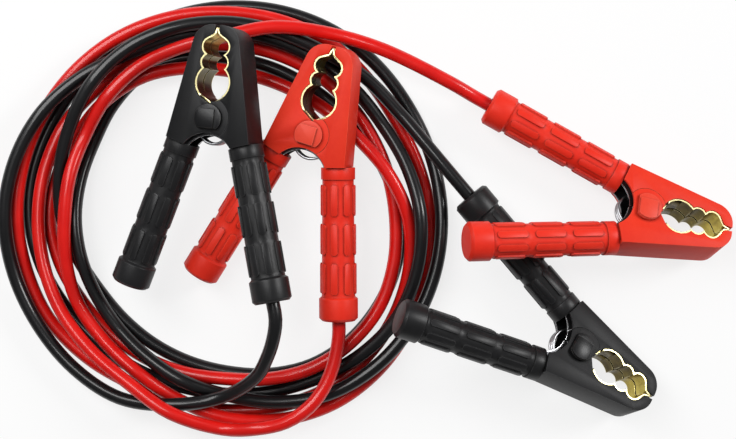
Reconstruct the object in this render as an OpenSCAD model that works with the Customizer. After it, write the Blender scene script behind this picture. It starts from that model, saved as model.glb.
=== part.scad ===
// A pair of booster cables: one red and one black, each with an insulated
// spring clamp on both ends, laid in a loose coil. Millimetres, +Z up.

/* [Cable] */
// Outside diameter of each cable
cable_d = 9.8; // [8.5:0.1:10.4]
// Thickness of the cable's jacket
jacket = 1.5; // [1:0.1:2]
// Clear height left where one strand crosses another
strand_gap = 1.5; // [1.2:0.1:2]
// Most that a strand climbs in one twenty-fourth of a turn
climb = 6.5; // [6:0.5:9]

/* [Shell] */
// Distance from the pivot to the tip of the jaws
nose_l = 65; // [62:0.5:68]
// Radius of the rounded nose of each shell
nose_r = 14; // [12:0.5:15]
// Thickness of the whole head, across both side plates
shell_t = 28; // [27:0.5:32]
// Thickness of a shell's side plates
plate = 2; // [1.5:0.1:2.4]
// Thickness of a shell's outer wall
wall = 2.2; // [1.6:0.1:2.4]
// Gap between the two shells when the jaws are closed
split = 0.4; // [0.2:0.1:0.8]
// Radius of the moving shell's knuckle round the pivot
knuckle_r = 14.5; // [12:0.5:15]
// Radius of the arch between the grips
arch_r = 21; // [20:0.5:22]
// Distance of the arch's centre behind the pivot
arch_x = 31; // [30:0.5:32]

/* [Jaws] */
// Radius of the round bay that closes on a battery post
post_r = 12; // [11:0.1:12.2]
// Distance of the bay's centre from the pivot
bay_x = 25; // [24.5:0.1:25.5]
// Thickness of the contact strip
strip = 1.2; // [0.8:0.1:1.6]
// Width of the contact strip beside the knuckle, across the jaws
strip_w = 22; // [18:0.5:23]
// Width of the contact strip ahead of the knuckle
rim_w = 26.6; // [24:0.2:27]
// Width of the slit along the middle of the contact strip
slit = 1.5; // [0.8:0.1:2.5]
// Distance of the slit from the middle of the strip
slit_z = 1.6; // [1.5:0.1:3]
// Depth of the teeth at the tip of the contact strip
tooth = 0.8; // [0.4:0.1:1]
// Distance of the bay's pointed back from the pivot
bay_back = 9.2; // [9:0.1:9.5]

/* [Lever] */
// Thickness of the steel sheet
sheet = 1.2; // [0.8:0.1:1.4]
// Half the width inside the moving lever
lever_in = 6.5; // [6.2:0.1:6.6]
// Distance of the lever's back inside the shell's outer face
lever_inset = 2.5; // [2.4:0.1:3]
// Radius of the lever's lug round the pivot
lug_r = 9.2; // [8:0.1:9.5]
// Length of the lever inside the grip
handle_l = 84; // [70:1:90]
// Depth of the lever's cheeks below the grip's axis
handle_d = 4.6; // [4:0.1:4.8]
// Height of the lever's back above the grip's axis
handle_h = 5.4; // [5.2:0.1:5.6]

/* [Pivot] */
// Radius of the rivet's shank
pin_r = 4; // [3:0.1:4.5]
// Radius of the rivet's heads
head_r = 6.5; // [5.5:0.1:8]
// Height of each rivet head
head_h = 2; // [1.5:0.1:2.4]
// Radius of the stem under each cap
stem_r = 2.5; // [2:0.1:3]
// Radius of the cap's disc
cap_r = 10; // [8.5:0.5:12]
// Height of the cap's disc
cap_h = 2.3; // [1.5:0.1:3]
// Height of the raised block on the cap
block_h = 1.6; // [1:0.1:2.5]

/* [Spring] */
// Radius of the spring's wire
wire_r = 1.1; // [0.8:0.1:1.2]
// Mean radius of the spring's curls
curl_r = 12.5; // [11:0.1:12.5]
// Whole curls between the spring's two legs
curls = 3; // [2:1:3]
// Rise of the wire in one curl
curl_pitch = 2.7; // [2.7:0.05:2.8]
// Distance of the spring's centre behind the pivot
curl_x = 5; // [4.8:0.1:6]

/* [Grip] */
// Angle of each grip to the clamp's centreline
splay = 16.5; // [15:0.5:17]
// Distance of the grip's root behind the pivot
root_x = 17.5; // [17:0.1:18]
// Distance of the grip's axis from the centreline at its root
root_y = 23.6; // [23.2:0.1:24]
// Length of the grip
grip_l = 110; // [105:1:116]
// Radius of the collar at the grip's root
collar_r = 12.25; // [11.8:0.1:13]
// Length of the collar at the grip's root
collar_l = 8.4; // [6:0.1:10]
// Radius of the grip's body at its root
body_r = 11.25; // [11.1:0.1:11.6]
// Radius of the grip's body at its end collar
body_r2 = 12.1; // [11.8:0.1:13]
// Radius of the grip's end collar
end_r = 14; // [13.6:0.1:15]
// Length of the grip's end collar
end_l = 16; // [12:0.5:18]
// Length of each raised pad
pad_l = 22; // [18:0.5:24]
// Distance from one row of pads to the next
pad_pitch = 28; // [26:0.5:28]
// Width of each raised pad
pad_w = 4.9; // [4:0.1:6.5]
// Chamfer at the corners of each raised pad
pad_c = 1.3; // [0.5:0.1:1.8]
// Height of each raised pad
pad_h = 1; // [0.6:0.1:1.6]

/* [Cable end] */
// Distance from the lever's end to the end of the jacket
jacket_gap = 4; // [2:0.5:8]
// Length of the crimped barrel
crimp_l = 18; // [12:0.5:20]
// Wall of the crimped barrel
crimp_wall = 0.7; // [0.5:0.05:0.8]
// Clearance between pieces that turn or slide
clear = 0.2; // [0.1:0.05:0.25]

/* [Hidden] */
$fn = 48;
pieces = ["shell_fixed", "shell_moving", "lever_fixed", "lever_moving",
    "contact_fixed", "contact_moving", "grip_fixed", "grip_moving",
    "rivet", "caps", "spring", "crimp", "conductor"];
red = "#d8201c";
black = "#2b2b2d";
brass = "#c9b04c";
steel = "#b9bcbf";
copper = "#b8693a";

// Each clamp: name, pivot, turns about X, Y and Z, colour, turn of the two
// grips about their own axes (cable side, then moving side).
clamps = [
    ["red_a", [-78.7, 65.1, 40.5], [-11, -7.2, 73.9], red, 0, 0],
    ["red_b", [156.6, 8, 31.7], [156.3, 7, -14.3], red, 0, 0],
    ["black_a", [-146.3, 74.7, 61.5], [-17, -2.5, 84.3], black, 17, 0],
    ["black_b", [107.9, -91, 30.6], [155.3, 7.3, -34.9], black, 0, 0],
];

// --- sizes that follow from the ones above
core_r = cable_d / 2 - jacket;
half_t = shell_t / 2;
cheek_moving = lever_in;
cheek_fixed = lever_in + sheet + clear;
head_z = cheek_fixed + sheet;
out_a = [-root_x + 7.5 * sin(splay), root_y + 7.5 / cos(splay) - 0.2];
crimp_r = core_r + crimp_wall;
jacket_s = handle_l + jacket_gap;
// Longer than a clamp, for cuts that pass right through
reach = 3 * nose_l;

// --- frames
function rot_x(p, a) =
    [p.x, p.y * cos(a) - p.z * sin(a), p.y * sin(a) + p.z * cos(a)];
function rot_y(p, a) =
    [p.x * cos(a) + p.z * sin(a), p.y, -p.x * sin(a) + p.z * cos(a)];
function rot_z(p, a) =
    [p.x * cos(a) - p.y * sin(a), p.x * sin(a) + p.y * cos(a), p.z];
function world(c, p) = c[1] + rot_z(rot_y(rot_x(p, c[2].x), c[2].y), c[2].z);
// Point on the fixed grip's axis, s from its root
function grip_pt(c, s) =
    world(c, [-root_x - s * cos(splay), -root_y - s * sin(splay), 0]);

module placed(c) {
    translate(c[1]) rotate(c[2]) children();
}
// Moving half above the centreline, fixed half its mirror image below
module half(moving) {
    if (moving) children();
    else mirror([0, 1, 0]) children();
}
// X along the grip's axis from its root, Y towards the outer face
module at_grip() {
    translate([-root_x, root_y, 0]) rotate([0, 0, 180 - splay])
        mirror([0, 1, 0]) children();
}
module both_sides() {
    children();
    mirror([0, 0, 1]) children();
}

// --- the head's outlines
out_b = [nose_l - 11.5, nose_r + 3.3];
out_dir = (out_b - out_a) / norm(out_b - out_a);
out_nrm = [-out_dir.y, out_dir.x];
module outline(inset = 0) {
    a = out_a - out_nrm * inset - out_dir * 9;
    b = out_b - out_nrm * inset;
    nose_c = [nose_l - nose_r, 3.5];
    polygon([[a.x, split / 2], a, b,
        [nose_l - inset, nose_c.y], [nose_l - inset, split / 2]]);
    intersection() {
        translate(nose_c) circle(nose_r - inset);
        translate([nose_c.x, split / 2]) square([nose_r + 1, nose_r * 2]);
    }
}
// Distance from the pivot, a share f of the way from the bay to the tip
function ahead(f) = bay_x + f * (nose_l - bay_x);
// The space between the closed jaws, drawn in by c, in five parts: a round
// bay with a pointed back, two smaller scallops and a pointed front
module cavity_part(c, i) {
    r = post_r + strip + clear;
    half_point = asin(r / (bay_x - bay_back));
    if (i == 0) translate([bay_x, 0]) circle(r - c, $fn = 64);
    if (i == 1) polygon([[bay_back + c / sin(half_point), 0],
        [bay_x - (r - c) * sin(half_point), (r - c) * cos(half_point)],
        [bay_x, 1], [bay_x, -1]]);
    if (i == 2) translate([ahead(0.3475), 4]) circle(6.9 - c);
    if (i == 3) translate([ahead(0.62), 3.8]) circle(7.1 - c);
    if (i == 4) polygon([[bay_x, -1], [bay_x, 1],
        [ahead(0.24), 9.35 - 1.5 * c], [ahead(0.3475), 5],
        [ahead(0.4825), 8.25 - 1.5 * c], [ahead(0.62), 6],
        [nose_l - 9.1 - 0.87 * c, 7.35 - 0.5 * c],
        [nose_l - 6.1 - c, 2.3 - 0.35 * c],
        [nose_l - 0.5 - 3.6 * c, 0], [nose_l - 0.5 - 3.6 * c, -1]]);
}
module cavity(c) {
    for (i = [0:4]) cavity_part(c, i);
}
// The shells stand back from the strips' lips at the very tip
module tip_gap() {
    polygon([[nose_l - 6.1, -1], [nose_l - 6.1, 2.1], [nose_l + 1, 1.4],
        [nose_l + 1, -1]]);
}
module root_side() {
    // everything on the jaws' side of the grip's root
    at_grip() translate([-reach, -reach]) square([reach, 2 * reach]);
}

// --- plastic shells
module shell(moving) {
    half(moving) difference() {
        union() {
            both_sides() translate([0, 0, half_t - plate])
                linear_extrude(plate) shell_plate(moving);
            translate([0, 0, -half_t]) linear_extrude(shell_t) difference() {
                intersection() {
                    outline();
                    root_side();
                }
                outline(wall);
                cavity(0);
                tip_gap();
            }
            both_sides() for (p = [[-8, 22], [30, post_r + 4.2]])
                translate([p.x, p.y, cheek(moving) + sheet])
                    cylinder(r = 2, h = half_t - plate / 2 - cheek(moving) - sheet);
        }
        if (moving) translate([0, 0, -shell_t])
            cylinder(r = stem_r + clear, h = 2 * shell_t);
    }
}
function cheek(moving) = moving ? cheek_moving : cheek_fixed;
module shell_plate(moving) {
    difference() {
        union() {
            intersection() {
                outline();
                root_side();
            }
            if (moving) circle(knuckle_r, $fn = 64);
        }
        translate([-arch_x, 0]) circle(arch_r, $fn = 64);
        cavity(0);
        tip_gap();
        if (!moving) circle(knuckle_r + 0.3, $fn = 64);
    }
}

// --- steel levers
module lever_side() {
    difference() {
        union() {
            difference() {
                intersection() {
                    outline(lever_inset);
                    root_side();
                }
                translate([-arch_x, 0]) circle(arch_r - 1.8, $fn = 64);
            }
            circle(lug_r);
            at_grip() translate([-3, -handle_d])
                square([handle_l + 3, handle_d + handle_h - sheet / 2]);
        }
        cavity(clear);
        circle(pin_r + 0.05);
    }
}
module lever(moving) {
    z = cheek(moving);
    half(moving) {
        both_sides() translate([0, 0, z]) linear_extrude(sheet) lever_side();
        translate([0, 0, -z - sheet / 2]) linear_extrude(2 * z + sheet)
            difference() {
                union() {
                    intersection() {
                        difference() {
                            outline(lever_inset);
                            outline(lever_inset + sheet);
                        }
                        root_side();
                    }
                    at_grip() translate([-3, handle_h - sheet])
                        square([handle_l + 3, sheet]);
                }
                cavity(clear);
            }
    }
}

// --- contact strips
module contact(moving) {
    half(moving) difference() {
        for (i = [0:4]) translate([0, 0, -rim_w / 2])
            linear_extrude(rim_w) cavity_part(clear, i);
        for (i = [0:4]) translate([0, 0, -rim_w])
            linear_extrude(2 * rim_w) cavity_part(clear + strip, i);
        both_sides() translate([0, -reach, strip_w / 2])
            cube([knuckle_r + 1, 2 * reach, rim_w]);
        translate([0, -reach, -rim_w]) cube([bay_x, reach + 0.6, 2 * rim_w]);
        translate([bay_x, -reach, -rim_w])
            cube([nose_l, reach + split / 2, 2 * rim_w]);
        translate([nose_l - 1, -reach, -rim_w])
            cube([nose_l, 2 * reach, 2 * rim_w]);
        translate([bay_x - 6, 0, slit_z - slit / 2])
            cube([nose_l, reach, slit]);
        for (k = [-2, -1, 1, 2])
            translate([nose_l - 5, split / 2, k * rim_w / 5 - 0.8])
                cube([6, tooth, 1.6]);
    }
}

// --- grips
module pad_outline() {
    w = pad_w / 2;
    polygon([[0, pad_c - w], [pad_c, -w], [pad_l - pad_c, -w],
        [pad_l, pad_c - w], [pad_l, w - pad_c], [pad_l - pad_c, w],
        [pad_c, w], [0, w - pad_c]]);
}
module grip(moving, turn) {
    s_end = grip_l - end_l;
    half(moving) at_grip() difference() {
        union() {
            rotate([0, 90, 0]) rotate_extrude() polygon([[0, 0],
                [collar_r, 0], [collar_r, collar_l], [body_r, collar_l],
                [body_r2, s_end - 1.5], [end_r, s_end],
                [end_r, grip_l - 2], [end_r - 2, grip_l], [0, grip_l]]);
            for (row = [0:2], k = [0:7]) {
                s = collar_l + 4 + row * pad_pitch;
                r = body_r + (body_r2 - body_r)
                    * (s + pad_l / 2 - collar_l) / (s_end - collar_l);
                rotate([turn + k * 45, 0, 0]) translate([s, 0, r - 1.5])
                    linear_extrude(pad_h + 1.5) pad_outline();
            }
        }
        // the lever's slot
        z = cheek(moving) + sheet;
        translate([-1, -handle_d - clear, -z - clear])
            cube([handle_l + 2, handle_d + handle_h - sheet / 2 + 2 * clear,
                2 * (z + clear)]);
        translate([-1, 0, -z + sheet / 2 - clear])
            cube([handle_l + 2, handle_h, 2 * z - sheet + 2 * clear]);
        if (!moving) translate([jacket_s - crimp_l - 6, 0, 0])
            rotate([0, 90, 0]) cylinder(r = cable_d / 2 + clear, h = grip_l);
    }
}

// --- rivet and its two caps
module rivet() {
    difference() {
        union() {
            translate([0, 0, -head_z]) cylinder(r = pin_r, h = 2 * head_z);
            both_sides() translate([0, 0, head_z])
                cylinder(r = head_r, h = head_h);
        }
        both_sides() translate([0, 0, head_z + head_h - 3])
            cylinder(r = stem_r, h = 4);
    }
}
module caps() {
    z = half_t + clear;
    both_sides() {
        translate([0, 0, z]) intersection() {
            cylinder(r = cap_r, h = cap_h);
            translate([-cap_r * 0.72, -cap_r, 0])
                cube([2 * cap_r, 2 * cap_r, cap_h]);
        }
        translate([0, 0, z + cap_h]) intersection() {
            cylinder(r = cap_r - 0.4, h = block_h);
            translate([-cap_r * 0.66, -cap_r * 0.5, 0])
                cube([cap_r * 1.3, 2 * cap_r, block_h]);
        }
        translate([0, 0, head_z + head_h - 3])
            cylinder(r = stem_r, h = z - head_z - head_h + 3.5);
    }
}

// --- the cable's end inside the fixed grip
module crimp() {
    half(false) at_grip() translate([jacket_s - crimp_l, 0, 0])
        difference() {
            union() {
                rotate([0, 90, 0]) cylinder(r = crimp_r, h = crimp_l);
                translate([2, 0, -crimp_r / 2])
                    cube([crimp_l - 6, handle_h - sheet, crimp_r]);
            }
            translate([-1, 0, 0]) rotate([0, 90, 0])
                cylinder(r = core_r, h = crimp_l + 2);
        }
}
module conductor() {
    half(false) at_grip() translate([jacket_s - crimp_l - 5, 0, 0])
        rotate([0, 90, 0]) cylinder(r = core_r, h = crimp_l + 5);
}

// --- swept tubes: one ring of points at each station of a path
function unit(v) = v / norm(v);
function tangent(p, i) =
    unit(p[min(i + 1, len(p) - 1)] - p[max(i - 1, 0)]);
function ring(c, t, r, n, up) =
    let (side = unit(cross(up, t)), top = cross(t, side))
    [for (k = [0:n - 1]) let (a = 180 / n + 90 + k * 360 / n)
        c + r * (cos(a) * side + sin(a) * top)];
module tube(p, r, n, up = [0, 0, 1]) {
    m = len(p);
    pts = [for (i = [0:m - 1]) each ring(p[i], tangent(p, i), r, n, up)];
    function at(i, k) = i * n + k % n;
    walls = [for (i = [0:m - 2], k = [0:n - 1]) each [
        [at(i, k), at(i, k + 1), at(i + 1, k)],
        [at(i, k + 1), at(i + 1, k + 1), at(i + 1, k)]]];
    caps = [for (k = [1:n - 2]) each [
        [0, k + 1, k], [at(m - 1, 0), at(m - 1, k), at(m - 1, k + 1)]]];
    polyhedron(pts, concat(walls, caps), convexity = 10);
}

// --- torsion spring: both legs lie on the inside of the levers' backs
leg_s = 24;
leg_y = handle_h - sheet - wire_r;
leg_end = [-root_x - leg_s * cos(splay) + leg_y * sin(splay),
    root_y + leg_s * sin(splay) + leg_y * cos(splay)];
leg_v = leg_end - [-curl_x, 0];
leg_a = atan2(leg_v.y, leg_v.x) - acos(curl_r / norm(leg_v));
curl_sweep = 360 * curls + 2 * leg_a;
curl_n = ceil(curl_sweep / 45);
curl_rise = curl_pitch * curl_sweep / 360;
spring_path = concat(
    [[leg_end.x, leg_end.y, curl_rise / 2]],
    [for (i = [0:curl_n]) let (a = leg_a - curl_sweep * i / curl_n)
        [-curl_x + curl_r * cos(a), curl_r * sin(a),
         curl_rise * (0.5 - i / curl_n)]],
    [[leg_end.x, -leg_end.y, -curl_rise / 2]]);
module spring() {
    tube(spring_path, wire_r, 6);
}

// --- the coil. Each cable has a station every 30 degrees, clockwise from
// the bottom: its radius, and its rank in the pile (a higher rank lies over
// a lower one wherever the two come close).
coil_c = [-144.4, 6.1, 0];
turn_a = 270;
step_a = 15;
red_r = [
    153, 138, 138, 137.5, 137, 132, 127, 125, 122.5, 124.5, 130.5, 127.5,
    118.5, 120, 124, 131, 125, 119, 108, 105.5, 113, 133.5, 143.5, 147, 143,
    142, 151.5, 153.5, 154, 153, 150, 149, 144, 150.5, 157, 159, 147, 129.5,
    125, 115.5, 118, 125, 129, 153];
red_rank = [
    6, 6, 6, 6, 2.5, 1, 1, 1, 1, 1, 1, 1.5,
    2, 0, 0, 0, 0, 2, 2, 2, 2, 2, 1, 0.5,
    0, 0, 0, 2, 2, 2, 2, 2, 1, 0, 0, 0,
    3, 3, 3, 4, 4, 4, 7, 7];
black_r = [
    130, 152.5, 159, 160.5, 153, 138.5, 135.5, 133.5, 133.5, 142.5, 145.5,
    136.5, 131, 130, 136.5, 146, 147, 151, 155.5, 158.5, 157, 158.5, 158,
    150, 130, 117, 110.5, 109.5, 113, 123, 118, 114, 117, 128, 130, 126,
    114.5, 108.5, 109, 120, 129.5, 140, 141, 140, 149];
black_rank = [
    5, 5, 5, 5, 5, 3, 2.5, 2, 2, 3, 3, 0.8,
    1, 1, 1, 1, 1, 1, 1, 1, 1, 1, 2, 2,
    3, 3, 3, 3, 1, 0, 0, 0, 0, 0, 0, 0,
    0, 0, 0, 0, 5, 5, 5, 5, 5];
// Stations and the points half way between them
function soft(v) = let (n = len(v)) [for (i = [0:2 * n - 2])
    let (j = floor(i / 2))
    i % 2 == 0 ? v[j] : (9 * (v[j] + v[j + 1])
        - v[max(j - 1, 0)] - v[min(j + 2, n - 1)]) / 16];
function plain(v) = [for (i = [0:2 * len(v) - 2])
    (v[floor(i / 2)] + v[ceil(i / 2)]) / 2];
n_red = 2 * len(red_r) - 1;
n_all = n_red + 2 * len(black_r) - 1;
rad = concat(soft(red_r), soft(black_r));
rank0 = concat(plain(red_rank), plain(black_rank));
rank = [for (i = [0:n_all - 1]) rank0[i] + i / 1000];
ang = [for (i = [0:n_all - 1])
    turn_a - step_a * (i < n_red ? i : i - n_red)];
function same(i, j) = (i < n_red) == (j < n_red) && j >= 0 && j < n_all;
function swaps(i, j, d) = same(i, i + d) && same(j, j + d)
    && (rad[i] - rad[j]) * (rad[i + d] - rad[j + d]) < 0;
// What lies under ring i, as pairs of its number and the height above it
over = cable_d + strand_gap;
under = [for (i = [0:n_all - 1]) [for (j = [0:n_all - 1])
    if (i != j && rank[j] < rank[i] && (ang[i] - ang[j]) % 360 == 0)
        let (g = swaps(i, j, 1) || swaps(i, j, -1) ? 0 : abs(rad[i] - rad[j]))
        if (g < over) [j, sqrt(over * over - g * g)]]];
floor_z = cable_d / 2 * cos(30);
// Heights settle until each strand rests on what is under it and none
// climbs too fast
function settle(z, n) = n == 0 ? z : settle([for (i = [0:n_all - 1])
    max([z[i], for (u = under[i]) z[u[0]] + u[1],
        same(i, i - 1) ? z[i - 1] - climb : 0,
        same(i, i + 1) ? z[i + 1] - climb : 0])], n - 1);
height = settle([for (i = [0:n_all - 1]) floor_z], 14);
rings = [for (i = [0:n_all - 1])
    coil_c + [rad[i] * cos(ang[i]), rad[i] * sin(ang[i]), height[i]]];
// The free leads' ways from the coil's ends to the grips
red_way_a = [[-119.6, -145.6, 41], [-98.9, -141.1, 40], [-82.4, -130.6, 38],
    [-72.4, -117.9, 36.5], [-65.2, -101.3, 35.5]];
red_way_b = [[-29.1, 126.9, 33], [19.2, 103.5, 30]];
black_way_a = [[-119.5, -107.5, 48], [-111.5, -94, 59], [-106.3, -79.5, 68]];
black_way_b = [[5.3, 55.7, 20.8]];
// Each end runs straight for one diameter towards its way
function straight(a, b) = a + unit(b - a) * cable_d;
function coil_path(i0, i1, way_a, way_b) = concat(
    [straight(rings[i0], way_a[0])], [for (i = [i0:i1]) rings[i]],
    [straight(rings[i1], way_b[0])]);
red_path = coil_path(0, n_red - 1, red_way_a, red_way_b);
black_path = coil_path(n_red, n_all - 1, black_way_a, black_way_b);

// --- the free leads: from the coil's ends into the fixed grips
function into_grip(c) = [for (s = [grip_l + 12, grip_l - 4, jacket_s])
    grip_pt(c, s)];
function between(p) = let (n = len(p)) [for (i = [0:2 * n - 2])
    let (j = floor(i / 2))
    i % 2 == 0 ? p[j] : j == 0 || j > n - 4 ? (p[j] + p[j + 1]) / 2
        : (9 * (p[j] + p[j + 1]) - p[j - 1] - p[j + 2]) / 16];
function lead(end, way, c) = between(concat(
    [end, straight(end, way[0])], way, into_grip(c)));
red_lead_a_path = lead(red_path[0], red_way_a, clamps[0]);
red_lead_b_path = lead(red_path[len(red_path) - 1], red_way_b,
    clamps[1]);
black_lead_a_path = lead(black_path[0], black_way_a, clamps[2]);
black_lead_b_path = lead(black_path[len(black_path) - 1], black_way_b,
    clamps[3]);

// Least distance between two straight pieces of cable
function seg_gap(p, q, r, s) =
    let (u = q - p, v = s - r, w = p - r, a = u * u, b = u * v, c = v * v,
        d = u * w, e = v * w, den = a * c - b * b,
        s0 = den < 1e-6 ? 0 : min(max((b * e - c * d) / den, 0), 1),
        t1 = min(max((b * s0 + e) / c, 0), 1),
        s1 = min(max((b * t1 - d) / a, 0), 1))
    norm(w + s1 * u - t1 * v);
function near(a, b) = abs(a.x - b.x) < 60 && abs(a.y - b.y) < 60;
function least(p, q, self) = min([for (i = [0:len(p) - 2])
    for (j = [self ? i + 3 : 0:1:len(q) - 2])
        if (near(p[i], q[j])) seg_gap(p[i], p[i + 1], q[j], q[j + 1])]);
function path_l(p) = len(p) < 2 ? 0
    : [for (i = [0:len(p) - 2]) norm(p[i + 1] - p[i])]
        * [for (i = [0:len(p) - 2]) 1];
union() {
    echo(red_coil_least_gap = least(red_path, red_path, true) - cable_d);
    echo(black_coil_least_gap = least(black_path, black_path, true) - cable_d);
    echo(coil_to_coil_gap = least(red_path, black_path, false) - cable_d);
    echo(spring_least_gap = least(spring_path, spring_path, true) - 2 * wire_r);
    echo(red_length = path_l(red_path) + path_l(red_lead_a_path)
        + path_l(red_lead_b_path));
    echo(black_length = path_l(black_path) + path_l(black_lead_a_path)
        + path_l(black_lead_b_path));
    echo(highest = max(height));
}

module red_coil() { color(red) tube(red_path, cable_d / 2, 6); }
module black_coil() { color(black) tube(black_path, cable_d / 2, 6); }
module red_lead_a() { color(red) tube(red_lead_a_path, cable_d / 2, 8); }
module red_lead_b() { color(red) tube(red_lead_b_path, cable_d / 2, 8); }
module black_lead_a() { color(black) tube(black_lead_a_path, cable_d / 2, 8); }
module black_lead_b() { color(black) tube(black_lead_b_path, cable_d / 2, 8); }

for (c = clamps) {
    n = c[0];
    color(c[3]) placed(c) shell(false);
    color(c[3]) placed(c) shell(true);
    color(steel) placed(c) lever(false);
    color(steel) placed(c) lever(true);
    color(brass) placed(c) contact(false);
    color(brass) placed(c) contact(true);
    color(c[3]) placed(c) grip(false, c[4]);
    color(c[3]) placed(c) grip(true, c[5]);
    color(steel) placed(c) rivet();
    color(c[3]) placed(c) caps();
    color(steel) placed(c) spring();
    color(brass) placed(c) crimp();
    color(copper) placed(c) conductor();
}
red_coil();
red_lead_a();
red_lead_b();
black_coil();
black_lead_a();
black_lead_b();
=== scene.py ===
# %% [markdown]
# # A set of booster cables
# Two cables, one red and one black, lie in one loose coil. Each ends in a
# spring clamp at both ends. The clamps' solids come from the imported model,
# so this lesson starts by loading it, and every size below is in metres.
# Working in the model's own frame means that nothing has to be fitted by eye.

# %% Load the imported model
import math
import bpy
import bmesh
from mathutils import Euler, Matrix, Vector


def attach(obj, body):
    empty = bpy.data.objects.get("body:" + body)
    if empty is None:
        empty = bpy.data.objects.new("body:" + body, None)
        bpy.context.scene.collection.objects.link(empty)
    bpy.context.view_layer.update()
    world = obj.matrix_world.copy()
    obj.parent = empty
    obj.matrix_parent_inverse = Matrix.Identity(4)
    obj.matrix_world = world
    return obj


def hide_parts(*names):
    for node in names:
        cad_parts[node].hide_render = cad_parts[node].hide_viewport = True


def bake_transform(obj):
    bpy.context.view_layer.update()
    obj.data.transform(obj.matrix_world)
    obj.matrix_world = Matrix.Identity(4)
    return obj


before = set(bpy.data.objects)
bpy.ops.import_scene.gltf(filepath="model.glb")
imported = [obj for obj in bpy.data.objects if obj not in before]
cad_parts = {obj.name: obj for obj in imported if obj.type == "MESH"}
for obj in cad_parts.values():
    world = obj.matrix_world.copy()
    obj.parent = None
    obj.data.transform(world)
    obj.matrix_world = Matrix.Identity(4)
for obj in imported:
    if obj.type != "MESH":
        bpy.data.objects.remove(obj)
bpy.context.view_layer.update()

MM = 0.001
scene = bpy.context.scene

# %% [markdown]
# ## The camera
# The set is seen from straight above, so the camera hangs over the coil's
# right side and looks down, with the top of the frame towards +Y. A long
# lens keeps the clamps' sides nearly hidden. One pixel of the frame covers
# 0.73 mm at the clamps' height.

# %% Hang the camera over the set
eye = bpy.data.cameras.new("eye")
eye.sensor_width = 36
eye.lens = 73.7
camera = bpy.data.objects.new("camera", eye)
scene.collection.objects.link(camera)
camera.location = (-0.0400, 0.0043, 1.120)
scene.camera = camera
scene.view_settings.view_transform = "Standard"
print("camera at", tuple(camera.location))

# %% [markdown]
# ## Where the clamps lie
# A clamp is described once, with X along the jaws, Y across them and Z
# through its thickness. A place is a position and three turns, which is
# how the four clamps share one description.

# %% Place the four clamps
PLACES = {
    "red_a": ((-78.7, 65.1, 40.5), (-11, -7.2, 73.9)),
    "red_b": ((156.6, 8, 31.7), (156.3, 7, -14.3)),
    "black_a": ((-146.3, 74.7, 61.5), (-17, -2.5, 84.3)),
    "black_b": ((107.9, -91, 30.6), (155.3, 7.3, -34.9)),
}
# Where a grip starts, how far it leans from the jaws, how long it is, and
# where the jacket ends inside it
ROOT_X, ROOT_Y, SPLAY = 17.5, 23.6, math.radians(16.5)
GRIP_L, JACKET_S = 110, 88


def placed(clamp):
    spot, turns = PLACES[clamp]
    turn = Euler([math.radians(a) for a in turns], "XYZ").to_matrix().to_4x4()
    return Matrix.Translation(Vector(spot)) @ turn


def grip_point(clamp, s):
    """A point on the axis of the grip that the cable enters."""
    x = -ROOT_X - s * math.cos(SPLAY)
    y = -ROOT_Y - s * math.sin(SPLAY)
    return placed(clamp) @ Vector((x, y, 0))


for clamp in PLACES:
    print(clamp, "cable enters at",
          [round(v) for v in grip_point(clamp, GRIP_L)])

# %% [markdown]
# ## The route of the coil
# A coiled cable is a heap of crossing loops. Drawing its height by hand is
# hopeless, so each cable only gets a radius and a rank every 30 degrees.
# The heights then settle by a rule: wherever two loops come close, the one
# with the higher rank rests on the other, and no loop climbs too fast.

# %% Radii and ranks of the loops
CABLE = 9.8
FIRST_ANGLE, RING_TURN = 270, 15
RED_R = [
    153, 138, 138, 137.5, 137, 132, 127, 125, 122.5, 124.5, 130.5, 127.5,
    118.5, 120, 124, 131, 125, 119, 108, 105.5, 113, 133.5, 143.5, 147, 143,
    142, 151.5, 153.5, 154, 153, 150, 149, 144, 150.5, 157, 159, 147, 129.5,
    125, 115.5, 118, 125, 129, 153]
RED_RANK = [
    6, 6, 6, 6, 2.5, 1, 1, 1, 1, 1, 1, 1.5,
    2, 0, 0, 0, 0, 2, 2, 2, 2, 2, 1, 0.5,
    0, 0, 0, 2, 2, 2, 2, 2, 1, 0, 0, 0,
    3, 3, 3, 4, 4, 4, 7, 7]
BLACK_R = [
    130, 152.5, 159, 160.5, 153, 138.5, 135.5, 133.5, 133.5, 142.5, 145.5,
    136.5, 131, 130, 136.5, 146, 147, 151, 155.5, 158.5, 157, 158.5, 158,
    150, 130, 117, 110.5, 109.5, 113, 123, 118, 114, 117, 128, 130, 126,
    114.5, 108.5, 109, 120, 129.5, 140, 141, 140, 149]
BLACK_RANK = [
    5, 5, 5, 5, 5, 3, 2.5, 2, 2, 3, 3, 0.8,
    1, 1, 1, 1, 1, 1, 1, 1, 1, 1, 2, 2,
    3, 3, 3, 3, 1, 0, 0, 0, 0, 0, 0, 0,
    0, 0, 0, 0, 5, 5, 5, 5, 5]


def soft(v):
    """Stations and the smooth values half way between them."""
    made = []
    for j in range(len(v) - 1):
        before, after = v[max(j - 1, 0)], v[min(j + 2, len(v) - 1)]
        made += [v[j], (9 * (v[j] + v[j + 1]) - before - after) / 16]
    return made + [v[-1]]


def plain(v):
    """Stations and the plain means half way between them."""
    return [(v[i // 2] + v[(i + 1) // 2]) / 2 for i in range(2 * len(v) - 1)]


n_red = 2 * len(RED_R) - 1
radius = soft(RED_R) + soft(BLACK_R)
ranks = plain(RED_RANK) + plain(BLACK_RANK)
rank = [r + i / 1000 for i, r in enumerate(ranks)]
angle = [FIRST_ANGLE - RING_TURN * (i if i < n_red else i - n_red)
         for i in range(len(radius))]
print(len(radius), "rings in the two coils")

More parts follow.
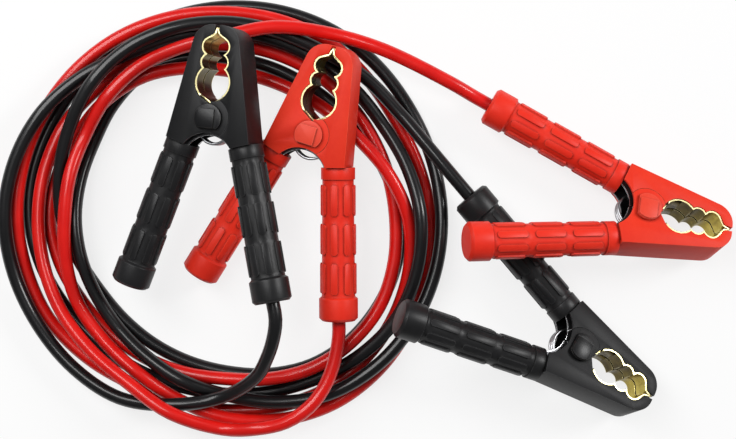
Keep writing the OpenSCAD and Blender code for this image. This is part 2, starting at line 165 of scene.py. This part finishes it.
# %% [markdown]
# ## The heights of the loops
# Two rings can only touch where they stand at the same angle. The lower one
# then sets a least height for the other: a full diameter where the loops
# cross, and less where they run side by side and the upper one sinks into
# the gap. Repeating the rule a few times lets the whole heap settle.

# %% Let the loops settle on each other
CLEAR = 1.5         # room kept between crossing loops
CLIMB = 6.5         # the most that a cable rises from ring to ring
ROUNDS = 14


def same(i, j):
    """True where both rings are on one cable."""
    return (i < n_red) == (j < n_red) and 0 <= j < len(radius)


def swaps(i, j, d):
    """True where two loops change sides before their next rings."""
    return (same(i, i + d) and same(j, j + d)
            and (radius[i] - radius[j]) * (radius[i + d] - radius[j + d]) < 0)


def resting(i):
    """The rings under ring i, each with the height that it gives."""
    over = CABLE + CLEAR
    found = []
    for j in range(len(radius)):
        if i != j and rank[j] < rank[i] and (angle[i] - angle[j]) % 360 == 0:
            crossing = swaps(i, j, 1) or swaps(i, j, -1)
            gap = 0 if crossing else abs(radius[i] - radius[j])
            if gap < over:
                found.append((j, math.sqrt(over * over - gap * gap)))
    return found


under = [resting(i) for i in range(len(radius))]
height = [CABLE / 2] * len(radius)
for settling in range(ROUNDS):
    height = [max([height[i]] + [height[j] + up for j, up in under[i]]
                  + [height[k] - CLIMB for k in (i - 1, i + 1) if same(i, k)])
              for i in range(len(radius))]
print("top of the heap at", round(max(height) + CABLE / 2, 1), "mm")

# %% [markdown]
# ## The free leads
# Each cable leaves the heap at both ends and runs to a clamp's grip. A few
# chosen points lead it there, and three points on the grip's own axis make
# it enter straight. A Catmull-Rom curve passes through all of its points
# and has no kinks, so the cable keeps to the route.

# %% Join the coils to the clamps
BEFORE_GRIP, WITHIN_GRIP = 12, 4
COIL = Vector((-144.4, 6.1, 0))
WAYS = {
    "red_a": [(-119.6, -145.6, 41), (-98.9, -141.1, 40), (-82.4, -130.6, 38),
              (-72.4, -117.9, 36.5), (-65.2, -101.3, 35.5)],
    "red_b": [(-29.1, 126.9, 33), (19.2, 103.5, 30)],
    "black_a": [(-119.5, -107.5, 48), (-111.5, -94, 59),
                (-106.3, -79.5, 68)],
    "black_b": [(5.3, 55.7, 20.8)],
}


def ring(i):
    """The middle of the cable at ring i."""
    a = math.radians(angle[i])
    return COIL + Vector((radius[i] * math.cos(a), radius[i] * math.sin(a),
                          height[i]))


def into_grip(clamp):
    """Points that lead a cable straight into its grip."""
    return [grip_point(clamp, s) for s in (
        GRIP_L + BEFORE_GRIP, GRIP_L - WITHIN_GRIP, JACKET_S)]


def route(first, start, stop, last):
    """Control points from one clamp's grip to the other's."""
    lead = into_grip(first)[::-1] + [Vector(p) for p in WAYS[first][::-1]]
    loops = [ring(i) for i in range(start, stop)]
    tail = [Vector(p) for p in WAYS[last]] + into_grip(last)
    return lead + loops + tail


def smooth(points, step=6.0):
    """A Catmull-Rom curve through the points, in metres."""
    made = []
    for i in range(len(points) - 1):
        b, c = points[i], points[i + 1]
        a = points[i - 1] if i else 2 * b - c
        d = points[i + 2] if i + 2 < len(points) else 2 * c - b
        knots = [0]
        for p, q in ((a, b), (b, c), (c, d)):
            knots.append(knots[-1] + math.sqrt(max((q - p).length, 1e-3)))
        t0, t1, t2, t3 = knots
        count = max(2, round((c - b).length / step))
        for k in range(count):
            t = t1 + (t2 - t1) * k / count
            a1 = a * ((t1 - t) / (t1 - t0)) + b * ((t - t0) / (t1 - t0))
            a2 = b * ((t2 - t) / (t2 - t1)) + c * ((t - t1) / (t2 - t1))
            a3 = c * ((t3 - t) / (t3 - t2)) + d * ((t - t2) / (t3 - t2))
            b1 = a1 * ((t2 - t) / (t2 - t0)) + a2 * ((t - t0) / (t2 - t0))
            b2 = a2 * ((t3 - t) / (t3 - t1)) + a3 * ((t - t1) / (t3 - t1))
            made.append((b1 * ((t2 - t) / (t2 - t1))
                         + b2 * ((t - t1) / (t2 - t1))) * MM)
    return made + [points[-1] * MM]


def length(path):
    """How long a path is, from point to point."""
    return sum((b - a).length for a, b in zip(path, path[1:]))


red_path = smooth(route("red_a", 0, n_red, "red_b"))
black_path = smooth(route("black_a", n_red, len(radius), "black_b"))
print("lengths in m:", [round(length(path), 3)
                        for path in (red_path, black_path)])

# %% [markdown]
# ## The cables
# A jacket is a round tube swept along the route. The rings are carried
# along without twisting, and each point keeps its distance along the cable
# and its place round it as a UV map, so that a finish can follow the cable.

# %% Sweep a tube
JACKET_SIDES = 20


def tube(name, path, r, sides):
    """A closed round tube along a path, with UVs in metres and turns."""
    bm = bmesh.new()
    uv = bm.loops.layers.uv.new("UVMap")
    rings, run, side, last = [], [0.0], None, len(path) - 1
    around = [2 * math.pi * k / sides for k in range(sides)]
    for i, p in enumerate(path):
        t = (path[min(i + 1, last)] - path[max(i - 1, 0)]).normalized()
        if side is None:
            side = t.cross(Vector((0, 0, 1))).normalized()
        side = (side - t * side.dot(t)).normalized()
        up = side.cross(t)
        if i:
            run.append(run[-1] + (p - path[i - 1]).length)
        rings.append([
            bm.verts.new(p + (side * math.cos(a) + up * math.sin(a)) * r)
            for a in around])
    for i in range(last):
        for k in range(sides):
            m = (k + 1) % sides
            f = bm.faces.new((rings[i][k], rings[i][m], rings[i + 1][m],
                              rings[i + 1][k]))
            f.smooth = True
            for loop, s, v in zip(f.loops, (i, i, i + 1, i + 1),
                                  (k, k + 1, k + 1, k)):
                loop[uv].uv = (run[s], v / sides)
    bm.faces.new(rings[0][::-1])
    bm.faces.new(rings[-1])
    bmesh.ops.recalc_face_normals(bm, faces=bm.faces)
    mesh = bpy.data.meshes.new(name)
    bm.to_mesh(mesh)
    bm.free()
    piece = bpy.data.objects.new(name, mesh)
    scene.collection.objects.link(piece)
    return piece


jackets = {}
for colour, path, ends in (("red", red_path, ("red_a", "red_b")),
                           ("black", black_path, ("black_a", "black_b"))):
    cable = tube(colour + "_cable", path, CABLE / 2 * MM, JACKET_SIDES)
    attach(cable, "root")
    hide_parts(colour + "_coil", colour + "_lead_a",
                colour + "_lead_b")
    colour + "_jacket"
    length(path)
    jackets[colour] = cable
    print(cable.name, len(cable.data.polygons), "faces")

# %% [markdown]
# ## Sums in a shader
# A finish is built from nodes, and most of them only add and multiply.
# Wire wraps one output, so that an ordinary Python expression adds the
# Math nodes. Everything that is not a sum comes from one method.

# %% A wire and a finish


class Wire:
    """One value in a shader; sums on it add Math nodes."""

    def __init__(self, finish, socket):
        self.finish, self.socket = finish, socket

    def sum(self, operation, *values):
        node = self.finish.add("ShaderNodeMath", {"operation": operation},
                               dict(enumerate(values)))
        return self.finish.wire(node)

    def __add__(self, other):
        return self.sum("ADD", self, other)

    def __sub__(self, other):
        return self.sum("SUBTRACT", self, other)

    def __rsub__(self, other):
        return self.sum("SUBTRACT", other, self)

    def __mul__(self, other):
        return self.sum("MULTIPLY", self, other)

    def __pow__(self, other):
        return self.sum("POWER", self, other)

    __radd__, __rmul__ = __add__, __mul__

    def clip(self):
        return self.sum("MINIMUM", self.sum("MAXIMUM", self, 0.0), 1.0)


class Finish:
    """A material with a principled shader, built node by node."""

    def __init__(self, name, **constants):
        self.mat = bpy.data.materials.new(name)
        self.mat.use_nodes = True
        self.tree = self.mat.node_tree
        self.tree.nodes.clear()
        self.shader = self.add("ShaderNodeBsdfPrincipled")
        self.add("ShaderNodeOutputMaterial", sockets={
            "Surface": self.wire(self.shader)})
        for name, value in constants.items():
            self.shader.inputs[name.replace("_", " ")].default_value = value
        self.place = self.wire(self.add("ShaderNodeTexCoord"), "Object")

    def add(self, kind, settings=None, sockets=None):
        node = self.tree.nodes.new(kind)
        for key, value in (settings or {}).items():
            if key == "stops":
                while len(node.color_ramp.elements) < len(value):
                    node.color_ramp.elements.new(0.5)
                for stop, (at, colour) in zip(node.color_ramp.elements, value):
                    stop.position, stop.color = at, colour
            else:
                setattr(node, key, value)
        for key, value in (sockets or {}).items():
            if isinstance(value, Wire):
                self.tree.links.new(value.socket, node.inputs[key])
            else:
                node.inputs[key].default_value = value
        return node

    def wire(self, node, output=0):
        return Wire(self, node.outputs[output])

    def feed(self, socket, wire):
        self.tree.links.new(wire.socket, self.shader.inputs[socket])

    def noise(self, scale, detail=3.0, rough=0.5, where=None):
        node = self.add("ShaderNodeTexNoise", sockets={
            "Vector": where or self.place, "Scale": scale,
            "Detail": detail, "Roughness": rough})
        return self.wire(node)

    def mix(self, share, a, b):
        node = self.add("ShaderNodeMix", {"data_type": "RGBA"},
                        {0: share, 6: a, 7: b})
        return self.wire(node, 2)

    def edges(self, width, gain=6.0):
        """Bright where the surface turns a corner."""
        round_n = self.wire(self.add("ShaderNodeBevel", {"samples": 6},
                                     {"Radius": width}))
        flat_n = self.wire(self.add("ShaderNodeNewGeometry"), "Normal")
        dot = self.add("ShaderNodeVectorMath", {"operation": "DOT_PRODUCT"},
                       {0: round_n, 1: flat_n})
        return ((1.0 - self.wire(dot, "Value")) * gain).clip()

    def occlusion_shade(self, reach):
        """Painted shade: dark where another surface stands within reach."""
        node = self.add("ShaderNodeAmbientOcclusion",
                        {"samples": 6}, {"Distance": reach})
        return (1.0 - self.wire(node, "AO") ** 1.5).clip()

    def bump(self, height, distance, strength=1.0):
        node = self.add("ShaderNodeBump", sockets={
            "Height": height, "Distance": distance, "Strength": strength})
        self.feed("Normal", self.wire(node))


print("sums and finishes ready")

# %% [markdown]
# ## The PVC jackets
# Soft PVC is smooth and glossy, with a faint lengthwise ripple where the
# strands press through and a little haze from handling. The ripple follows
# the cable, so it reads the UV map that the sweep made. Where another
# strand lies close, the colour is darkened as painted shade.

# %% Jacket finish
# The colour of the painted shade between strands
SHADE = (0.004, 0.003, 0.003, 1)


def jacket_finish(name, deep, light):
    """Glossy PVC, rippled along the cable, with painted shade between strands.
    """
    f = Finish(name, Coat_Weight=0.3, Coat_Roughness=0.10, IOR=1.45,
               Specular_IOR_Level=0.3)
    uv = f.add("ShaderNodeUVMap", {"uv_map": "UVMap"})
    along = f.wire(f.add("ShaderNodeMapping", sockets={
        "Vector": f.wire(uv), "Scale": (22.0, 9.0, 1.0)}))
    ripple = f.noise(1.0, 2.0, where=along)
    haze = f.noise(60.0, 3.0)
    scuff = f.noise(900.0, 4.0, 0.65)
    body = f.mix((haze * 0.9 + ripple * 0.5 - 0.2).clip(), deep, light)
    # Painted shade: darker where another strand lies close
    f.feed("Base Color", f.mix(f.occlusion_shade(0.006) * 0.6, body, SHADE))
    f.feed("Roughness", (0.22 + haze * 0.14 + scuff * 0.10).clip())
    f.bump(ripple * 0.8 + scuff * 0.08, 0.0005, 0.5)
    return f.mat


red_jacket = jacket_finish("red_jacket", (0.56, 0.003, 0.003, 1),
                           (0.80, 0.012, 0.007, 1))
black_jacket = jacket_finish("black_jacket", (0.004, 0.004, 0.0045, 1),
                             (0.010, 0.010, 0.011, 1))
jackets["red"].data.materials.append(red_jacket)
jackets["black"].data.materials.append(black_jacket)
print("jackets finished")

# %% [markdown]
# ## The moulded plastic
# The shells and the grips are filled plastic with a fine moulded grain and
# a satin gloss. Corners that hands and cable ends rub turn smoother and
# paler, and that paler colour is partly painted highlight along the corners.
# A bevelled normal compared with the true one finds those corners. Hollows
# where another surface stands close are darkened as painted shade.

# %% Plastic finish
def plastic_finish(name, deep, light, wear_and_highlight_colour, rough, sheen, groove_shade_depth=0.7):
    """Satin plastic; pale corners are wear and painted highlight, hollows
    painted shade.
    """
    f = Finish(name, IOR=1.48, Specular_IOR_Level=sheen)
    cloud = f.noise(38.0, 4.0, 0.6)
    speck = f.noise(1500.0, 2.0, 0.7)
    streak = f.noise(260.0, 5.0, 0.7)
    # Pale corners in patches: partly wear, partly painted highlight
    wear_and_highlight = f.edges(0.0009, 5.0) * (cloud * 1.6 - 0.35).clip()
    body = f.mix((cloud * 0.8 + streak * 0.4 - 0.1).clip(), deep, light)
    # Painted shade: hollows near another surface turn almost black
    painted_groove_shade = (f.occlusion_shade(0.0024) * groove_shade_depth).clip()
    f.feed("Base Color", f.mix(painted_groove_shade, f.mix(wear_and_highlight * 0.6, body, wear_and_highlight_colour),
                               [0.08 * v for v in deep[:3]] + [1]))
    f.feed("Roughness", (rough + speck * 0.10 + streak * 0.08
                         - wear_and_highlight * 0.14 + painted_groove_shade * 0.4).clip())
    f.bump(speck * 0.5 + streak * 0.25, 0.00008, 0.8)
    return f.mat


# Deep and light colours, the pale colour of corners for wear and painted
# highlight, then roughness, sheen and the depth of painted shade in hollows
PLASTICS = {
    "red_shell": ((0.68, 0.018, 0.008, 1), (0.84, 0.052, 0.020, 1),
                  (0.94, 0.22, 0.12, 1), 0.40, 0.18),
    "red_grip": ((0.70, 0.014, 0.006, 1), (0.86, 0.042, 0.018, 1),
                 (0.95, 0.20, 0.12, 1), 0.34, 0.28, 1.2),
    # The cap's paler red is partly painted highlight on its raised block
    "red_cap": ((0.70, 0.036, 0.018, 1), (0.84, 0.080, 0.040, 1),
                (0.95, 0.40, 0.28, 1), 0.36, 0.25),
    "black_shell": ((0.004, 0.004, 0.0045, 1), (0.012, 0.012, 0.013, 1),
                    (0.14, 0.14, 0.145, 1), 0.38, 0.25),
    "black_grip": ((0.004, 0.004, 0.0045, 1), (0.017, 0.017, 0.018, 1),
                   (0.19, 0.19, 0.195, 1), 0.31, 0.34, 1.6),
    "black_cap": ((0.003, 0.003, 0.0035, 1), (0.008, 0.008, 0.009, 1),
                  (0.18, 0.17, 0.15, 1), 0.24, 0.3),
}
FINISHES = {name: plastic_finish(name, *row)
            for name, row in PLASTICS.items()}
print(len(FINISHES), "plastics finished")

# %% [markdown]
# ## The metals
# The contact strips have a yellow passivated skin, whose colour drifts
# between gold, olive and brown. It is darker in the bay and paler towards
# the toothed tip, and its cut edges and rims carry a painted highlight. How
# far a point is along the jaws and across the strip is kept as a UV map.
# The levers, rivets and springs are plain zinc-plated steel. The levers and
# rivets are painted dark, as shade for the inside of the levers' channels,
# and every metal carries a painted highlight along its edges.

# %% Metal finishes
def metal_finish(name, colours, edge_highlight_colour, rough):
    """Plain metal that drifts through its colours, with painted highlights on
    its edges.
    """
    f = Finish(name, Metallic=1.0)
    drift = f.noise(85.0, 3.0, 0.6)
    fine = f.noise(700.0, 4.0, 0.7)
    ramp = f.add("ShaderNodeValToRGB", {"stops": [
        (0.30 + 0.4 * i / (len(colours) - 1), c)
        for i, c in enumerate(colours)]}, {"Fac": drift})
    # Painted highlight along every edge
    edge_highlight = f.edges(0.0005, 8.0)
    f.feed("Base Color", f.mix(edge_highlight, f.wire(ramp), edge_highlight_colour))
    f.feed("Roughness", (rough + fine * 0.22 - edge_highlight * 0.12).clip())
    f.bump(fine * 0.6 + drift * 0.4, 0.00006, 0.7)
    return f.mat


def contact_finish(name):
    """Yellow strip, darker in the bay and paler at the tip, with painted
    highlights on its rims and edges.
    """
    f = Finish(name, Metallic=1.0)
    uv = f.wire(f.add("ShaderNodeUVMap", {"uv_map": "jaw"}))
    split = f.add("ShaderNodeSeparateXYZ", sockets={"Vector": uv})
    along, across = f.wire(split, "X"), f.wire(split, "Y")
    drift = f.noise(120.0, 3.0, 0.6)
    fine = f.noise(900.0, 4.0, 0.7)
    tip = ((along - 0.60) * 3.2).clip()
    rim = ((across.sum("ABSOLUTE", across) - 0.965) * 60.0).clip()
    ramp = f.add("ShaderNodeValToRGB", {"stops": [
        (0.00, (0.040, 0.028, 0.010, 1)), (0.30, (0.14, 0.105, 0.022, 1)),
        (0.55, (0.42, 0.32, 0.055, 1)), (0.78, (0.74, 0.60, 0.13, 1)),
        (1.00, (0.88, 0.78, 0.30, 1))]},
        {"Fac": (drift * 0.5 + tip * 0.55 - 0.12).clip()})
    # Painted highlight along the edges and the rims
    edge_highlight = (f.edges(0.0006, 9.0) + rim).clip()
    f.feed("Base Color", f.mix(edge_highlight, f.wire(ramp), (0.90, 0.80, 0.42, 1)))
    f.feed("Roughness", (0.20 + fine * 0.22 + edge_highlight * 0.06).clip())
    f.bump(fine * 0.6 + drift * 0.4, 0.00006, 0.7)
    return f.mat


# Deep and light colours, the colour of the painted highlights on the edges,
# and roughness
METALS = {
    # The steel is painted dark, as shade for the inside of the levers'
    # channels
    "steel": (((0.05, 0.05, 0.052, 1), (0.16, 0.16, 0.165, 1)),
              (0.90, 0.90, 0.92, 1), 0.26),
    "spring": (((0.30, 0.30, 0.31, 1), (0.55, 0.56, 0.58, 1)),
               (0.85, 0.85, 0.86, 1), 0.20),
    "crimp": (((0.50, 0.42, 0.26, 1), (0.66, 0.58, 0.42, 1)),
              (0.9, 0.85, 0.7, 1), 0.25),
    "copper": (((0.55, 0.24, 0.12, 1), (0.75, 0.36, 0.20, 1)),
               (0.95, 0.6, 0.45, 1), 0.25),
}
FINISHES["contact"] = contact_finish("contact")
for name, row in METALS.items():
    FINISHES[name] = metal_finish(name, *row)
print(len(FINISHES), "finishes in all")

# %% [markdown]
# ## Moulded pieces with soft corners
# The model's solids have knife-sharp corners. A moulded piece has none, so
# each plastic piece is a copy of its solid with its flat faces joined again
# and every corner rounded by a bevel. The bevel is applied, so that what
# rides on the clamp is a plain mesh.

# %% Round the corners of a solid
SEAM = 2e-6         # vertices closer than this are one
FLAT, CORNER, SHARP = (math.radians(a) for a in (0.6, 32, 40))


def softened(node, width, segments, finish, body):
    """A copy of a solid with its corners rounded, on its own body."""
    bm = bmesh.new()
    bm.from_mesh(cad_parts[node].data)
    bmesh.ops.remove_doubles(bm, verts=bm.verts, dist=SEAM)
    bmesh.ops.dissolve_limit(bm, angle_limit=FLAT, verts=bm.verts,
                             edges=bm.edges)
    mesh = bpy.data.meshes.new(node + "_moulded")
    bm.to_mesh(mesh)
    bm.free()
    piece = bpy.data.objects.new(node + "_moulded", mesh)
    scene.collection.objects.link(piece)
    bevel = piece.modifiers.new("corners", "BEVEL")
    bevel.width, bevel.segments = width, segments
    bevel.limit_method = "ANGLE"
    bevel.angle_limit = CORNER
    bevel.use_clamp_overlap = True
    bpy.context.view_layer.update()
    ready = piece.evaluated_get(bpy.context.evaluated_depsgraph_get())
    solid = bpy.data.meshes.new_from_object(ready)
    piece.modifiers.clear()
    piece.data = solid
    solid.name = piece.name
    solid.materials.clear()
    solid.materials.append(FINISHES[finish])
    solid.shade_smooth()
    solid.set_sharp_from_angle(angle=SHARP)
    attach(piece, body)
    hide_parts(node)
    return piece


# %% Map the contact strips and mould every piece
JAW_L, STRIP_W = 64, 22
RIM_X, RIM_W = 15.3, 26.6       # ahead of RIM_X a strip is RIM_W wide
# The width and the segments of each piece's rounded corners
ROUNDING = {"shell": (0.0007, 2), "grip": (0.00035, 2),
            "contact": (0.00018, 1), "caps": (0.0006, 2)}


def map_jaw(piece, clamp):
    """UVs that say how far along and across the jaws each point is."""
    back = placed(clamp).inverted()
    layer = piece.data.uv_layers.new(name="jaw")
    for loop in piece.data.loops:
        at = back @ (piece.data.vertices[loop.vertex_index].co / MM)
        half_w = (RIM_W if at.x > RIM_X else STRIP_W) / 2
        layer.data[loop.index].uv = (at.x / JAW_L, at.z / half_w)


for clamp in PLACES:
    colour = clamp.split("_")[0]
    for half, body in (("fixed", "root"), ("moving", clamp + "_jaw")):
        for part in ("shell", "grip"):
            softened(f"{clamp}_{part}_{half}", *ROUNDING[part],
                     f"{colour}_{part}", body)
        strip = softened(f"{clamp}_contact_{half}", *ROUNDING["contact"],
                         "contact", body)
        map_jaw(strip, clamp)
    softened(clamp + "_caps", *ROUNDING["caps"], colour + "_cap", "root")

# %% [markdown]
# ## The torsion springs
# Each spring is one wire: a leg along the back of one lever, three and a
# third curls round the rivet, and a leg along the other lever. A path is
# what Geometry Nodes are good at: one tree turns a chain of edges into
# round wire, and every spring is the same tree on another chain.

# %% A tree that sweeps wire
def wire_tree():
    """Round wire along a chain of edges."""
    tree = bpy.data.node_groups.new("round_wire", "GeometryNodeTree")
    sockets = {}
    for name, kind in (("Chain", "Geometry"), ("Wire radius", "Float"),
                       ("Sides", "Int"), ("Finish", "Material")):
        sockets[name] = tree.interface.new_socket(
            name, in_out="INPUT", socket_type="NodeSocket" + kind).identifier
    tree.interface.new_socket("Wire", in_out="OUTPUT",
                              socket_type="NodeSocketGeometry")
    steps = [tree.nodes.new(kind) for kind in (
        "NodeGroupInput", "GeometryNodeMeshToCurve", "GeometryNodeCurveToMesh",
        "GeometryNodeSetShadeSmooth", "GeometryNodeRealizeInstances",
        "GeometryNodeSetMaterial", "NodeGroupOutput")]
    for before, after in zip(steps, steps[1:]):
        tree.links.new(before.outputs[0], after.inputs[0])
    ring = tree.nodes.new("GeometryNodeCurvePrimitiveCircle")
    ring.mode = "RADIUS"
    given = steps[0].outputs
    tree.links.new(given["Sides"], ring.inputs["Resolution"])
    tree.links.new(given["Wire radius"], ring.inputs["Radius"])
    tree.links.new(ring.outputs["Curve"], steps[2].inputs["Profile Curve"])
    steps[2].inputs["Fill Caps"].default_value = True
    tree.links.new(given["Finish"], steps[5].inputs["Material"])
    return tree, sockets


WIRE_TREE, WIRE_SOCKETS = wire_tree()
print("wire tree has", len(WIRE_TREE.nodes), "nodes")

# %% Run the tree on one chain
WIRE_SIDES = 14


def wound(name, chain, r, finish):
    """A plain mesh of wire along the chain, in metres."""
    mesh = bpy.data.meshes.new(name + "_chain")
    mesh.from_pydata([tuple(p) for p in chain],
                     [(i, i + 1) for i in range(len(chain) - 1)], [])
    piece = bpy.data.objects.new(name, mesh)
    scene.collection.objects.link(piece)
    sweep = piece.modifiers.new("wire", "NODES")
    sweep.node_group = WIRE_TREE
    for key, value in (("Wire radius", r), ("Sides", WIRE_SIDES),
                       ("Finish", finish)):
        sweep[WIRE_SOCKETS[key]] = value
    bpy.context.view_layer.update()
    ready = piece.evaluated_get(bpy.context.evaluated_depsgraph_get())
    solid = bpy.data.meshes.new_from_object(ready)
    piece.modifiers.clear()
    piece.data = solid
    bm = bmesh.new()
    bm.from_mesh(solid)
    bmesh.ops.recalc_face_normals(bm, faces=bm.faces)
    bm.to_mesh(solid)
    bm.free()
    return piece


# %% [markdown]
# ## The springs' curls
# The wire starts inside one lever, 24 mm down its grip, and meets the first
# curl at a tangent. The other leg mirrors it, so the curls need a third of
# a turn more than three. The curls rise a little more than the wire's own
# thickness in each turn and so never touch.

# %% Wind the springs
WIRE_R, CURL_R, CURL_X, CURL_RISE, CURLS = 1.1, 12.5, 5, 2.7, 3
LEG_S, LEG_OUT = 24, 3.1        # along the grip's axis, and out from it
STEPS = 130
leg = Vector((-ROOT_X - LEG_S * math.cos(SPLAY) + LEG_OUT * math.sin(SPLAY),
              ROOT_Y + LEG_S * math.sin(SPLAY) + LEG_OUT * math.cos(SPLAY),
              0))
span = leg + Vector((CURL_X, 0, 0))
start = math.atan2(span.y, span.x) - math.acos(CURL_R / span.length)
sweep = 2 * math.pi * CURLS + 2 * start
rise = CURL_RISE * sweep / (2 * math.pi)
for clamp in PLACES:
    spot = placed(clamp)
    turns = [Vector((CURL_R * math.cos(start - sweep * k / STEPS) - CURL_X,
                     CURL_R * math.sin(start - sweep * k / STEPS),
                     rise * (0.5 - k / STEPS))) for k in range(STEPS + 1)]
    legs = [Vector((leg.x, leg.y, rise / 2)),
            Vector((leg.x, -leg.y, -rise / 2))]
    chain = [legs[0], legs[0].lerp(turns[0], 0.5), *turns,
             legs[1].lerp(turns[-1], 0.5), legs[1]]
    spring = wound(clamp + "_spring_wire", [spot @ p * MM for p in chain],
                   WIRE_R * MM, FINISHES["spring"])
    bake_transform(spring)
    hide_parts(clamp + "_spring")
print("springs wound, sweep", round(math.degrees(sweep)), "degrees each")

# %% [markdown]
# ## Metal pieces that keep their solids
# The levers, rivets, crimps and conductors are cut sheet and turned metal,
# whose corners really are crisp. Their solids stay as they are and only
# take their finishes.

# %% Finish the metal pieces
for clamp in PLACES:
    for part, finish in (("lever_fixed", "steel"), ("lever_moving", "steel"),
                         ("rivet", "steel"), ("crimp", "crimp"),
                         ("conductor", "copper")):
        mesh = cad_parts[f"{clamp}_{part}"].data
        mesh.materials.clear()
        mesh.materials.append(FINISHES[finish])
print("metal pieces finished")

# %% [markdown]
# ## Floor and light
# A white floor shows the set plainly. One large soft lamp stands to the
# upper left and a weaker one to the right, so that the jackets carry one
# clean highlight along their length. Where the camera sees the floor, most
# of it is plain glow, which keeps it even and still lets shadows show.

# %% Floor
FLOOR = 4                       # from the middle to an edge, in metres
GLOW_SHARE = 0.8                # how much of the seen floor is plain glow
floor_mesh = bpy.data.meshes.new("floor")
floor_mesh.from_pydata([(-FLOOR, -FLOOR, 0), (FLOOR, -FLOOR, 0),
                        (FLOOR, FLOOR, 0), (-FLOOR, FLOOR, 0)], [],
                       [(0, 1, 2, 3)])
floor = bpy.data.objects.new("floor", floor_mesh)
floor.location.z = -0.0002
scene.collection.objects.link(floor)
pale = bpy.data.materials.new("pale_floor")
pale.use_nodes = True
nodes, links = pale.node_tree.nodes, pale.node_tree.links
nodes.clear()
out = nodes.new("ShaderNodeOutputMaterial")
both = nodes.new("ShaderNodeMixShader")
matt = nodes.new("ShaderNodeBsdfDiffuse")
glow = nodes.new("ShaderNodeEmission")
path_info = nodes.new("ShaderNodeLightPath")
seen = nodes.new("ShaderNodeMath")
seen.operation = "MAXIMUM"
share = nodes.new("ShaderNodeMath")
share.operation = "MULTIPLY"
share.inputs[1].default_value = GLOW_SHARE
matt.inputs["Color"].default_value = (0.9, 0.9, 0.9, 1)
glow.inputs["Strength"].default_value = 1.0
links.new(path_info.outputs["Is Camera Ray"], seen.inputs[0])
links.new(path_info.outputs["Is Glossy Ray"], seen.inputs[1])
links.new(seen.outputs[0], share.inputs[0])
links.new(share.outputs[0], both.inputs[0])
links.new(matt.outputs[0], both.inputs[1])
links.new(glow.outputs[0], both.inputs[2])
links.new(both.outputs[0], out.inputs[0])
floor_mesh.materials.append(pale)
print("floor laid, with", len(nodes), "nodes in its material")

# %% [markdown]
# ## The lamps
# Area lamps give soft edges to the shadows. A wide world light would flatten
# the black pieces, so the world stays dim and the two lamps do the work.

# %% Lamps and world
WORLD_LEVEL = 0.18
world = bpy.data.worlds.new("studio")
scene.world = world
world.use_nodes = True
sky = world.node_tree.nodes["Background"]
sky.inputs["Color"].default_value = (1, 1, 1, 1)
sky.inputs["Strength"].default_value = WORLD_LEVEL


def lamp(name, spot, aim, size, watts):
    """A soft rectangular lamp that looks at a point."""
    data = bpy.data.lights.new(name, "AREA")
    data.shape, data.size, data.size_y = "RECTANGLE", *size
    data.energy = watts
    obj = bpy.data.objects.new(name, data)
    scene.collection.objects.link(obj)
    obj.location = spot
    look = Vector(aim) - Vector(spot)
    obj.rotation_euler = look.to_track_quat("-Z", "Y").to_euler()


lamp("key", (-0.7, 0.6, 1.3), (-0.05, 0, 0), (0.5, 1.4), 19)
lamp("fill", (1.7, 0.7, 1.3), (0.1, 0, 0), (0.6, 0.8), 28)
print("two lamps hung, world at", WORLD_LEVEL)
